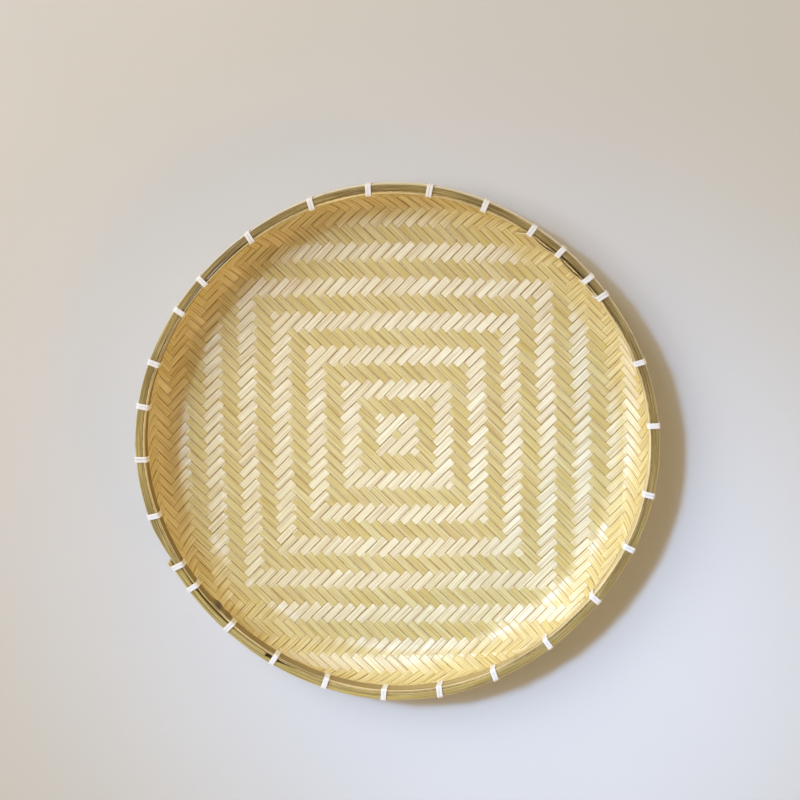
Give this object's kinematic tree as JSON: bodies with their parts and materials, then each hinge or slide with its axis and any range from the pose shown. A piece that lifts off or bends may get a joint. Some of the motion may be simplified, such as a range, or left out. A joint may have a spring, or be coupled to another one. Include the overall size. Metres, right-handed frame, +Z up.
{
  "type": "woven bamboo tray",
  "caption": "Round shallow tray of twill-woven bamboo splints, its edge clamped between two lapped bamboo hoops and lashed with flat white cord, for drying, sorting and serving food.",
  "frame": {"origin": "centre of the underside of the woven floor, on the surface the tray rests on", "axes": "+Z up out of the dish; +X to the right and +Y away from the viewer when the weave's squares stand straight"},
  "size_m": [0.4217, 0.4212, 0.0472],
  "materials": {
    "splints": "split bamboo, scraped smooth, with fine fibre lines and a silky sheen",
    "hoops": "split bamboo culm wall, satin skin outside and fibrous cut edges",
    "lashing": "flat white plastic cord, satin"
  },
  "bodies": {
    "root": {"woven_mat": "splints", "outer_hoop": "hoops", "inner_hoop": "hoops", "lashing_01": "lashing", "lashing_02": "lashing", "lashing_03": "lashing", "lashing_04": "lashing", "lashing_05": "lashing", "lashing_06": "lashing", "lashing_07": "lashing", "lashing_08": "lashing", "lashing_09": "lashing", "lashing_10": "lashing", "lashing_11": "lashing", "lashing_12": "lashing", "lashing_13": "lashing", "lashing_14": "lashing", "lashing_15": "lashing", "lashing_16": "lashing", "lashing_17": "lashing", "lashing_18": "lashing", "lashing_19": "lashing", "lashing_20": "lashing", "lashing_21": "lashing", "lashing_22": "lashing", "lashing_23": "lashing", "lashing_24": "lashing", "lashing_25": "lashing", "lashing_26": "lashing", "lashing_27": "lashing", "lashing_28": "lashing", "lashing_29": "lashing"}
  },
  "joints": []
}
